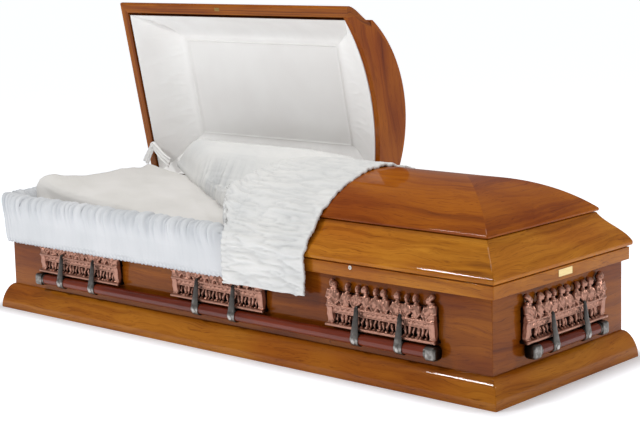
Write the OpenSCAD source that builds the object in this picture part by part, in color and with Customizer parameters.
// Half-couch casket: a mitred hardwood case with a hipped lid in two parts, the head lid open
// on its hinges, swinging bar handles hung from cast relief plates, and a fabric interior.
// X runs along the case with the foot end at +X. The long front faces -Y, the hinges are at +Y,
// and Z is up from the centre of the underside.

/* [Case] */
// Overall length over the base moulding
casket_length = 2134; // [1900:1:2600]
// Overall width over the base moulding
casket_width = 720; // [600:1:870]
// Thickness of the side and end boards
board_t = 19; // [15:1:26]
// Thickness of the bottom board
bottom_t = 18; // [12:1:25]
// How far the body faces stand in from the base moulding
base_out = 36; // [28:1:46]
// Height of the base moulding
base_h = 83; // [60:1:90]
// Height of the side boards
wall_h = 297; // [292:1:360]
// Height of the rim rail on top of the boards
rim_h = 41; // [30:1:60]
// How far the rim rail stands out from the body faces
rim_out = 16.6; // [13:0.1:22]

/* [Lid] */
// Gap between the rim and a closed lid
lid_clear = 0.5; // [0.3:0.1:2]
// Where the lid is cut in two, along X
split_x = 60; // [-60:1:120]
// Gap between the two lids
split_gap = 2; // [1:0.5:4]
// Height of the lid moulding, from its underside to the crown's seat
ogee_h = 107; // [95:1:125]
// Width of the lid moulding's underside
rail_w = 36; // [28:1:40]
// How far the lid moulding's nose stands out from the rim rail
nose_out = 7.4; // [4:0.1:10]
// How far the crown's lower edge stands in from the base moulding
crown_in = 85; // [78:1:95]
// Rise of the crown above its lower edge
crown_rise = 105; // [85:1:130]
// Thickness of the crown panels
crown_t = 12; // [9:1:14]
// Rise of the arched header at the split
arch_rise = 75; // [50:1:90]
// Thickness of the header boards
header_t = 20; // [14:1:24]
// Opening angle of the head lid
lid_open = 78.8; // [60:0.1:85]

/* [Hinges] */
// Distance of the hinge axis behind the rim's back face
hinge_out = 18.9; // [17:0.1:24]
// Radius of the hinge knuckles
knuckle_r = 5; // [4:0.1:6]
// Radius of the hinge pins
hinge_pin_r = 2.5; // [2:0.1:3]
// Radial clearance of every pin in its bore
pin_clear = 0.05; // [0.02:0.01:0.1]
// Length of one knuckle
knuckle_len = 16; // [10:1:24]

/* [Handles] */
// Radius of the wooden bars
bar_r = 17; // [12:0.5:19]
// Distance of the bars and pivots from the body faces
bar_off = 24; // [22:0.5:34]
// Height of the bars' axis when they hang
bar_z = 125; // [120:1:128]
// Height of the pivots
pivot_z = 211; // [205:1:222]
// Length of the long side handles over their caps
long_handle = 1732; // [1560:1:1900]
// Length of the end handles over their caps
end_handle = 377; // [300:1:460]
// Length of the end caps
cap_len = 40; // [25:1:60]
// Distance of each arm from the middle of its plate
arm_x = 80; // [60:1:110]
// Radius of the handle pivots
pivot_r = 3; // [2:0.1:4]
// Play between an arm and the lugs beside it
arm_play = 0.3; // [0.2:0.1:1]

/* [Relief plates] */
// Width of a relief plate
plate_w = 404; // [340:1:440]
// Height of a plate's underside
plate_z = 149; // [148:1:154]
// Height of a plate, from its underside to its tallest head
plate_h = 138; // [120:1:140]
// Depth of the table and the foot ledge
ledge_d = 18.5; // [12:0.5:18.5]
// Distance between neighbouring plates on a long side
plate_pitch = 655; // [560:1:680]
// Seated figures on a plate
figures = 10; // [6:2:10]

/* [Interior] */
// Height of the top of the mattress
bed_z = 250; // [200:1:265]
// Thickness of the wall lining
lining_t = 10; // [6:1:14]
// Height of the skirt's lower edge
skirt_z = 235; // [232:1:260]
// Height of the skirt's rolled top above the rim
skirt_roll = 57; // [40:1:65]
// Thickness of the throw
throw_t = 10; // [6:1:14]
// How far along X the throw laps over the foot lid
throw_lap_x = 385; // [250:1:480]

/* [Hidden] */
$fn = 64;

wood = "#a8691f";
bar_wood = "#8a3a22";
copper = "#c4917a";
nickel = "#a9a7a3";
brass = "#c9b170";
cloth = "#e8e8e6";
ivory = "#e2dccf";

L = casket_length;
W = casket_width;
body_x = L / 2 - base_out;
body_y = W / 2 - base_out;
inner_x = body_x - board_t;
inner_y = body_y - board_t;
rim_x = body_x + rim_out;
rim_y = body_y + rim_out;
rim_z = wall_h + rim_h;
under_z = rim_z + lid_clear;
seat_z = under_z + ogee_h;
crown_lip = 9.5;
edge_z = seat_z + crown_lip;
crown_y = W / 2 - crown_in;
crown_r = (crown_y * crown_y + crown_rise * crown_rise) / (2 * crown_rise);
crown_z0 = edge_z + crown_rise - crown_r;
nose_d = base_out - rim_out - nose_out;
rail_d = nose_d + rail_w;
crown_seat = 14;
over_all = edge_z + crown_rise + 20;
head_end_x = split_x - split_gap / 2;
foot_end_x = split_x + split_gap / 2;
hinge_y = rim_y + hinge_out;
hinge_z = rim_z + 1;
hinge_xs = [for (k = [0, 1, 2]) -L / 2 + 170 + k * (L / 2 + split_x - 380) / 2];
skirt_top = rim_z + skirt_roll;
seam = 0.3;
soft_gap = 0.5;
lining_z = under_z + 131;

// Points on a circle about [cx, cz], and on a cubic curve with four control points
function arc(cx, cz, r, a0, a1, n) =
    [for (i = [0:n]) let (a = a0 + (a1 - a0) * i / n) [cx + r * cos(a), cz + r * sin(a)]];
function bezier(a, b, c, d, n) = [for (i = [0:n]) let (t = i / n, s = 1 - t)
    s * s * s * a + 3 * s * s * t * b + 3 * s * t * t * c + t * t * t * d];
function reversed(list) = [for (i = [len(list) - 1:-1:0]) list[i]];

// Profiles are lists of [distance in from the base moulding's outer edge, height].
base_foot = 7;
base_profile = concat(
    [[0, 0]],
    [for (i = [0:9]) let (a = 10 * i)
        [base_out * pow(1 - cos(a), 0.8), base_foot + (base_h - base_foot) * sin(a)]],
    [[base_out, 0]]);

rim_face = base_out - rim_out;
rim_profile = [
    [rim_face + 1.5, wall_h], [rim_face, wall_h + 1.5], [rim_face, rim_z - 1.5],
    [rim_face + 1.5, rim_z], [base_out + board_t, rim_z], [base_out + board_t, wall_h]];

// The lid moulding: a bullnose at the foot, then an ogee that swells up to the crown's seat
nose_top = 12.5;
ogee_curve = bezier([nose_d, under_z + nose_top], [nose_d + 16, under_z + 0.45 * ogee_h],
    [crown_in - 13, under_z + 0.654 * ogee_h], [crown_in + 5, seat_z], 16);
ogee_hollow = bezier([rail_d, under_z + 20], [rail_d + 4, under_z + 0.41 * ogee_h],
    [crown_in + 5, under_z + 0.523 * ogee_h], [crown_in + 19, seat_z - 7], 8);
ogee_profile = concat(
    [[nose_d + 8, under_z], [nose_d + 2.6, under_z + 0.9], [nose_d + 0.4, under_z + 3],
     [nose_d, under_z + 5.5]],
    ogee_curve,
    [[crown_in + 19, seat_z]],
    reversed(ogee_hollow),
    [[rail_d, under_z]]);

// The crown's section across the case, as [y, z]: an arched panel with a small lip at its edges
crown_in_y = crown_y - crown_seat;
crown_a = asin(crown_y / crown_r);
crown_in_a = asin(crown_in_y / (crown_r - crown_t));
function crown_edge(side) = [
    [side * (crown_y + 1.5), edge_z - 3.5], [side * (crown_y + 1), seat_z + 1],
    [side * (crown_y - 0.5), seat_z], [side * crown_in_y, seat_z]];
crown_section = concat(
    arc(0, crown_z0, crown_r, 90 + crown_a, 90 - crown_a, 40),
    crown_edge(1),
    arc(0, crown_z0, crown_r - crown_t, 90 - crown_in_a, 90 + crown_in_a, 32),
    reversed(crown_edge(-1)));

// Height of the closed lid's outer surface at a distance y from the middle
function lid_height(y) = abs(y) <= crown_y
    ? crown_z0 + sqrt(crown_r * crown_r - y * y)
    : lookup(W / 2 - abs(y), ogee_curve);

// ---- Framing: sticks run along X or Y and meet at 45 degrees over the case's corners ----

module along_x(section, x0, x1) {
    translate([x0, 0, 0]) rotate([90, 0, 90]) linear_extrude(x1 - x0) polygon(section);
}

module along_y(section, y0, y1) {
    translate([0, y1, 0]) rotate([90, 0, 0]) linear_extrude(y1 - y0) polygon(section);
}

module long_sector() {
    linear_extrude(over_all) polygon([
        [-L / 2, -W / 2], [L / 2, -W / 2], [(L - W) / 2, 0], [L / 2, W / 2], [-L / 2, W / 2],
        [-(L - W) / 2, 0]]);
}

module end_sector(end) {
    linear_extrude(over_all)
        polygon([[end * L / 2, -W / 2], [end * L / 2, W / 2], [end * (L - W) / 2, 0]]);
}

module long_stick(profile, side, x0 = -L / 2, x1 = L / 2) {
    color(wood) intersection() {
        along_x([for (p = profile) [side * (W / 2 - p[0]), p[1]]], x0, x1);
        long_sector();
    }
}

module end_stick(profile, end) {
    color(wood) intersection() {
        along_y([for (p = profile) [end * (L / 2 - p[0]), p[1]]], -W / 2, W / 2);
        end_sector(end);
    }
}

function board_profile() =
    [[base_out, 0], [base_out + board_t, 0], [base_out + board_t, wall_h], [base_out, wall_h]];

module bottom_board() {
    color(wood) translate([-inner_x, -inner_y, 0]) cube([2 * inner_x, 2 * inner_y, bottom_t]);
}

// ---- Lids: ogee mouldings, an arched header at the split, and a hipped crown ----

module crown(x0, x1) {
    color(wood) intersection() {
        along_x(crown_section, x0, x1);
        long_sector();
    }
}

module crown_end(end) {
    half = [for (p = crown_section) if (p[0] >= -0.001) [end * ((L - W) / 2 + p[0]), p[1]]];
    color(wood) intersection() {
        along_y(half, -W / 2, W / 2);
        end_sector(end);
    }
}

module header(x0) {
    foot_y = W / 2 - rail_d;
    arch_y = foot_y - 4;
    arch_r = (arch_y * arch_y + arch_rise * arch_rise) / (2 * arch_rise);
    arch_a = asin(arch_y / arch_r);
    side = [for (p = ogee_hollow) [W / 2 - p[0], p[1]]];
    board = concat(
        arc(0, under_z + arch_rise - arch_r, arch_r, 90 + arch_a, 90 - arch_a, 24),
        [[foot_y, under_z]],
        side,
        [[W / 2 - crown_in - 19, seat_z], [crown_in_y, seat_z]],
        arc(0, crown_z0, crown_r - crown_t, 90 - crown_in_a, 90 + crown_in_a, 32),
        [[-crown_in_y, seat_z], [-(W / 2 - crown_in - 19), seat_z]],
        [for (p = reversed(side)) [-p[0], p[1]]],
        [[-foot_y, under_z]]);
    color(wood) along_x(board, x0, x0 + header_t);
}

module opened() {
    translate([0, hinge_y, hinge_z]) rotate([-lid_open, 0, 0])
        translate([0, -hinge_y, -hinge_z]) children();
}

// The lining follows the lid's hollow outside, and has a coved border round a flat panel inside.
// Both sections are lists of [distance in from the base moulding's outer edge, height].
lining_back = concat(
    [[rail_d + 2, under_z + 1]],
    [for (p = ogee_hollow) [p[0] + 2, p[1]]],
    [[crown_in + 60, lining_z], [crown_in + 95, lining_z + 7]]);
lining_cove = bezier([rail_d + 9, under_z + 1], [rail_d + 26, under_z + 62],
    [rail_d + 72, under_z + 127], [rail_d + 132, lining_z], 8);

module lining_form(section, front_z, split_points) {
    low = under_z + front_z;
    intersection() {
        along_x(concat(
            [[-(W / 2 - section[0][0]), low]],
            [for (p = section) [-(W / 2 - p[0]), p[1]]],
            [for (p = reversed(section)) [W / 2 - p[0], p[1]]],
            [[W / 2 - section[0][0], low]]), -L / 2, head_end_x - header_t - 1);
        along_y(concat(
            [[-(L / 2 - section[0][0]), low]],
            [for (p = section) [-(L / 2 - p[0]), p[1]]],
            split_points,
            [[head_end_x - header_t, low]]), -W / 2, W / 2);
    }
}

module head_lid_lining() {
    inner_end = head_end_x - header_t;
    color(cloth) opened() difference() {
        lining_form(lining_back, 1, [[inner_end, lining_z + 7]]);
        lining_form(lining_cove, -5,
            [[inner_end - 180, lining_z], [inner_end - 90, lining_z - 14],
             [inner_end, under_z + arch_rise]]);
    }
}

// ---- Hinges ----

module hinge_knuckles(from) {
    for (x = hinge_xs, k = [from:2:4]) translate([x + k * knuckle_len + 0.1, hinge_y, hinge_z])
        rotate([0, 90, 0]) cylinder(r = knuckle_r, h = knuckle_len - 0.2);
}

module hinge_shell() {
    leaf_t = 3;
    color(brass) {
        for (x = hinge_xs) {
            translate([x, rim_y, wall_h + 9]) cube([5 * knuckle_len, leaf_t, rim_h - 13]);
            for (k = [0:2:4]) translate([x + k * knuckle_len + 0.1, rim_y, hinge_z - 6])
                cube([knuckle_len - 0.2, hinge_out, 4]);
            translate([x + 0.1, hinge_y, hinge_z]) rotate([0, 90, 0])
                cylinder(r = hinge_pin_r, h = 5 * knuckle_len - 0.2);
        }
        hinge_knuckles(0);
    }
}

module hinge_lid() {
    nose_y = W / 2 - nose_d;
    color(brass) opened() difference() {
        union() {
            hinge_knuckles(1);
            for (x = hinge_xs, k = [1, 3])
                translate([x + k * knuckle_len + 0.1, nose_y, under_z + 6])
                    cube([knuckle_len - 0.2, hinge_y - nose_y, 3]);
            for (x = hinge_xs, k = [1, 3])
                translate([x + k * knuckle_len + 0.1, nose_y, under_z + 6])
                    cube([knuckle_len - 0.2, 2, 6]);
        }
        for (x = hinge_xs) translate([x, hinge_y, hinge_z]) rotate([0, 90, 0])
            cylinder(r = hinge_pin_r + pin_clear, h = 5 * knuckle_len);
    }
}

// ---- Metalwork on the rim and lid ----

lock_x = 546;
lock_z = wall_h + 0.73 * rim_h;

module lock() {
    color(brass) translate([lock_x, -rim_y, lock_z]) rotate([90, 0, 0]) difference() {
        cylinder(r = 6, h = 2.5);
        translate([0, 0, 1]) cylinder(r = 2, h = 2);
    }
}

module lid_catch() {
    color(brass) opened() translate([-lock_x - 12, -(W / 2 - nose_d - 17) - 6, under_z - 0.35])
        cube([24, 12, 0.35]);
}

module name_plate() {
    color(brass) translate([rim_x, -34, wall_h + rim_h / 2 - 10]) cube([1.2, 68, 20]);
}

// ---- Relief plates: a long table on a ledge, a row of seated figures, and two pivot lugs.
// Each is drawn against a wall at y = 0, facing -Y, with its underside at z = 0 ----

arm_w = 10;
lug_w = 3.5;
table_z = 63;

module pivot_lugs() {
    lug_z = pivot_z - plate_z;
    for (x = [-arm_x, arm_x]) {
        for (s = [-1, 1]) translate([x + s * (arm_w / 2 + arm_play + lug_w / 2) - lug_w / 2, 0, 0]) {
            translate([0, -bar_off, lug_z]) rotate([0, 90, 0]) cylinder(r = 7, h = lug_w);
            translate([0, -bar_off, lug_z - 7]) cube([lug_w, bar_off, 14]);
        }
        translate([x - arm_w / 2 - arm_play - 1, -bar_off, lug_z]) rotate([0, 90, 0])
            cylinder(r = pivot_r, h = arm_w + 2 * arm_play + 2);
    }
}

module relief() {
    half = plate_w / 2;
    head_r = 8.5;
    pitch = (plate_w - 60) / (figures - 1);
    color(copper) {
        difference() {
            union() {
                translate([-half, -ledge_d, 0]) cube([plate_w, ledge_d, 6]);
                translate([-half + 8, -ledge_d + 5.5, 5]) cube([plate_w - 16, ledge_d - 5.5, 56]);
                translate([-half + 5, -ledge_d, table_z - 6]) cube([plate_w - 10, ledge_d, 6]);
                translate([-half + 12, -5, 60]) cube([plate_w - 24, 5, plate_h - 92]);
            }
            for (x = [-arm_x, arm_x]) translate([x - arm_w / 2 - arm_play, -ledge_d - 1, 44])
                cube([arm_w + 2 * arm_play, ledge_d - 4, table_z - 43]);
        }
        for (i = [0:figures - 1]) translate([-half + 30 + i * pitch, 0, 0]) intersection() {
            union() {
                translate([0, -2, table_z - 3]) cylinder(r1 = 15, r2 = 8, h = 50);
                translate([0, -7, plate_h - head_r - (i % 2) * 6]) sphere(r = head_r);
                translate([0, -6, table_z + 40]) cylinder(r = 5, h = 20);
            }
            translate([-30, -40, 0]) cube([60, 40, plate_h + 10]);
        }
        pivot_lugs();
    }
}

module on_front(x) { translate([x, -body_y, plate_z]) children(); }
module on_back(x) { translate([x, body_y, plate_z]) rotate([0, 0, 180]) children(); }
module on_head() { translate([-body_x, 0, plate_z]) rotate([0, 0, -90]) children(); }
module on_foot() { translate([body_x, 0, plate_z]) rotate([0, 0, 90]) children(); }

// ---- Handles, drawn like the plates: the bar hangs from its arms at y = -bar_off ----

ring_w = 22;

module bar(length) {
    color(bar_wood) translate([-length / 2 + cap_len, -bar_off, bar_z - plate_z])
        rotate([0, 90, 0]) cylinder(r = bar_r, h = length - 2 * cap_len);
}

module arm() {
    drop = pivot_z - bar_z;
    top = pivot_z - plate_z;
    ring_r = bar_r + 3.5;
    difference() {
        union() {
            translate([-arm_w / 2, -bar_off, top]) rotate([0, 90, 0])
                cylinder(r = 6.5, h = arm_w);
            translate([0, -bar_off + 4, top]) rotate([90, 0, 0]) linear_extrude(8) polygon([
                [-arm_w / 2, 0], [-arm_w / 2, -14], [-ring_w / 2, -drop + bar_r],
                [-ring_w / 2, -drop], [ring_w / 2, -drop], [ring_w / 2, -drop + bar_r],
                [arm_w / 2, -14], [arm_w / 2, 0]]);
            translate([-ring_w / 2, -bar_off, top - drop]) rotate([0, 90, 0])
                cylinder(r = ring_r, h = ring_w);
            translate([-8, -bar_off - ring_r - 2.5, top - drop - 8]) cube([16, 8, 16]);
        }
        translate([-ring_w, -bar_off, top - drop]) rotate([0, 90, 0])
            cylinder(r = bar_r + pin_clear, h = 2 * ring_w);
        translate([-arm_w, -bar_off, top]) rotate([0, 90, 0])
            cylinder(r = pivot_r + pin_clear, h = 2 * arm_w);
    }
}

module arms(centres) {
    color(nickel) for (x = centres, s = [-1, 1]) translate([x + s * arm_x, 0, 0]) arm();
}

module caps(length) {
    side = 2 * bar_r + 3;
    color(nickel) for (s = [-1, 1])
        translate([s * (length / 2 - cap_len / 2), -bar_off, bar_z - plate_z]) intersection() {
            cube([cap_len, side, side], center = true);
            rotate([45, 0, 0]) cube([cap_len + 2, side * 1.24, side * 1.24], center = true);
        }
}

side_plates = [-plate_pitch, 0, plate_pitch];

// ---- Interior ----

module mattress() {
    inset = lining_t + 6;
    color(ivory) translate([-inner_x + inset, -inner_y + inset, bottom_t + soft_gap])
        cube([2 * (inner_x - inset), 2 * (inner_y - inset), bed_z - bottom_t - soft_gap]);
}

module wall_lining() {
    color(cloth) translate([0, 0, bottom_t + soft_gap]) linear_extrude(rim_z - bottom_t - 2)
        difference() {
            square([2 * (inner_x - seam), 2 * (inner_y - seam)], center = true);
            square([2 * (inner_x - lining_t), 2 * (inner_y - lining_t)], center = true);
        }
}

// The pillow slopes from the head wall down towards the middle of the case
pillow_x0 = -inner_x + lining_t + 17;
pillow_x1 = split_x - 110;
pillow_high = rim_z + 107;
pillow_low = rim_z + 5;
function pillow_top(x) =
    pillow_high + (pillow_low - pillow_high) * (x - pillow_x0) / (pillow_x1 - pillow_x0);

module pillow() {
    half = inner_y - lining_t - 24;
    color(ivory) along_y([
        [pillow_x0 + 12, bed_z + soft_gap], [pillow_x0, bed_z + 20],
        [pillow_x0, pillow_high - 16], [pillow_x0 + 14, pillow_high - 2],
        [pillow_x0 + 40, pillow_top(pillow_x0 + 40)], [pillow_x1 - 40, pillow_top(pillow_x1 - 40)],
        [pillow_x1 - 12, pillow_low - 6], [pillow_x1, pillow_low - 30],
        [pillow_x1, bed_z + 20], [pillow_x1 - 12, bed_z + soft_gap]], -half, half);
}

// The skirt hangs over the rim's front and head sides, as [distance out from the rim, height]
drop_t = 21;
skirt_profile = [
    [4, skirt_z], [drop_t + 4, skirt_z], [drop_t + 6, skirt_z + 70], [drop_t + 3, skirt_top - 22],
    [drop_t - 8, skirt_top - 4], [-11, skirt_top], [-40, skirt_top - 7], [-51, skirt_top - 30],
    [-51, rim_z + 5], [-44, rim_z + soft_gap], [4, rim_z + soft_gap]];

module skirt_front() {
    color(cloth) along_x([for (p = skirt_profile) [-rim_y - p[0], p[1]]],
        -rim_x - drop_t - 6, head_end_x);
}

module skirt_head() {
    color(cloth) along_y([for (p = skirt_profile) [-rim_x - p[0], p[1]]],
        -rim_y + 51 + soft_gap, rim_y - 12);
}

// The throw's field rises from a diagonal edge over the pillow to the foot lid's header
field_y0 = -rim_y + 51 + 2;
field_y1 = rim_y - 41;
function field_edge(y) = split_x - 95 - 1.42 * (y - field_y0);
function field_z(x, y) =
    let (t = min(1, max(0, (x - field_edge(y)) / (foot_end_x - field_edge(y)))),
         swell = 40 * sin(180 * t) * max(0, sin(90 * (y - field_y0) / 460)))
    pillow_top(field_edge(y)) * (1 - t) + lid_height(y) * t + swell + throw_t + 6;

module throw_field() {
    nx = 9;
    ny = 10;
    grid = [for (j = [0:ny], i = [0:nx]) let (y = field_y0 + (field_y1 - field_y0) * j / ny,
        x = field_edge(y) + (foot_end_x - 0.5 - field_edge(y)) * i / nx) [x, y, field_z(x, y)]];
    n = (nx + 1) * (ny + 1);
    function at(i, j) = j * (nx + 1) + i;
    edge = concat([for (i = [0:nx - 1]) at(i, 0)], [for (j = [0:ny - 1]) at(nx, j)],
        [for (i = [nx:-1:1]) at(i, ny)], [for (j = [ny:-1:1]) at(0, j)]);
    m = len(edge);
    color(cloth) polyhedron(
        points = concat(grid, [for (p = grid) [p[0], p[1], p[2] - throw_t]]),
        faces = concat(
            [for (j = [0:ny - 1], i = [0:nx - 1]) [at(i, j + 1), at(i + 1, j + 1), at(i, j)]],
            [for (j = [0:ny - 1], i = [0:nx - 1]) [at(i + 1, j + 1), at(i + 1, j), at(i, j)]],
            [for (j = [0:ny - 1], i = [0:nx - 1])
                [at(i, j) + n, at(i + 1, j + 1) + n, at(i, j + 1) + n]],
            [for (j = [0:ny - 1], i = [0:nx - 1])
                [at(i, j) + n, at(i + 1, j) + n, at(i + 1, j + 1) + n]],
            [for (k = [0:m - 1]) [edge[k], edge[(k + 1) % m], edge[(k + 1) % m] + n]],
            [for (k = [0:m - 1]) [edge[k], edge[(k + 1) % m] + n, edge[k] + n]]));
}

// The throw's lap hangs down the front, then follows the foot lid's outside over the crown
function normal_at(path, i) =
    let (a = path[max(i - 1, 0)], b = path[min(i + 1, len(path) - 1)], t = (b - a) / norm(b - a))
    [-t[1], t[0]];
function shifted(path, by) = [for (i = [0:len(path) - 1]) path[i] + by * normal_at(path, i)];
lap_front = -(W / 2 - nose_d) - 3;
lap_path = concat(
    [[lap_front, skirt_z - 9], [lap_front, under_z + nose_top]],
    [for (i = [3:len(ogee_curve) - 2]) [-(W / 2 - ogee_curve[i][0]), ogee_curve[i][1]]],
    [[-crown_y - 3, edge_z - 2]],
    [for (y = [-0.97, -0.85, -0.7, -0.55, -0.4, -0.25, -0.1, 0.1, 0.25, 0.4, 0.55, 0.7, 0.85])
        [y * crown_y, lid_height(y * crown_y)]]);

module throw_lap() {
    color(cloth) along_x(concat(shifted(lap_path, 1.5), reversed(shifted(lap_path, 1.5 + throw_t))),
        foot_end_x, throw_lap_x);
}

module lid_gusset() {
    color(cloth) along_x([[inner_y - 6, rim_z + seam], [rim_y - 1, rim_z + seam],
        [hinge_y - 16, rim_z + 140], [hinge_y - 24, rim_z + 140]],
        -inner_x + 18, -inner_x + 32);
}

// ---- Output ----

ogee = ogee_profile;

bottom_board();
long_stick(board_profile(), -1);  // side_front
long_stick(board_profile(), 1);  // side_back
end_stick(board_profile(), -1);  // end_head
end_stick(board_profile(), 1);  // end_foot
long_stick(rim_profile, -1);  // rim_front
long_stick(rim_profile, 1);  // rim_back
end_stick(rim_profile, -1);  // rim_head
end_stick(rim_profile, 1);  // rim_foot
long_stick(base_profile, -1);  // base_front
long_stick(base_profile, 1);  // base_back
end_stick(base_profile, -1);  // base_head
end_stick(base_profile, 1);  // base_foot
on_front(-plate_pitch) relief();  // relief_front_head
on_front(0) relief();  // relief_front_middle
on_front(plate_pitch) relief();  // relief_front_foot
on_back(-plate_pitch) relief();  // relief_back_head
on_back(0) relief();  // relief_back_middle
on_back(plate_pitch) relief();  // relief_back_foot
on_head() relief();  // relief_head
on_foot() relief();  // relief_foot
long_stick(ogee, -1, foot_end_x, L / 2);  // foot_lid_front
long_stick(ogee, 1, foot_end_x, L / 2);  // foot_lid_back
end_stick(ogee, 1);  // foot_lid_end
header(foot_end_x);  // foot_lid_header
crown(foot_end_x, L / 2);  // foot_lid_crown
crown_end(1);  // foot_lid_crown_end
opened() long_stick(ogee, -1, -L / 2, head_end_x);  // head_lid_front
opened() long_stick(ogee, 1, -L / 2, head_end_x);  // head_lid_back
opened() end_stick(ogee, -1);  // head_lid_end
opened() header(head_end_x - header_t);  // head_lid_header
opened() crown(-L / 2, head_end_x);  // head_lid_crown
opened() crown_end(-1);  // head_lid_crown_end
head_lid_lining();
hinge_shell();
hinge_lid();
lock();
lid_catch();
name_plate();
mattress();
pillow();
wall_lining();
skirt_front();
skirt_head();
throw_field();
throw_lap();
lid_gusset();
on_front(0) bar(long_handle);  // handle_front_bar
on_front(0) arms(side_plates);  // handle_front_arms
on_front(0) caps(long_handle);  // handle_front_caps
on_back(0) bar(long_handle);  // handle_back_bar
on_back(0) arms(side_plates);  // handle_back_arms
on_back(0) caps(long_handle);  // handle_back_caps
on_head() bar(end_handle);  // handle_head_bar
on_head() arms([0]);  // handle_head_arms
on_head() caps(end_handle);  // handle_head_caps
on_foot() bar(end_handle);  // handle_foot_bar
on_foot() arms([0]);  // handle_foot_arms
on_foot() caps(end_handle);  // handle_foot_caps
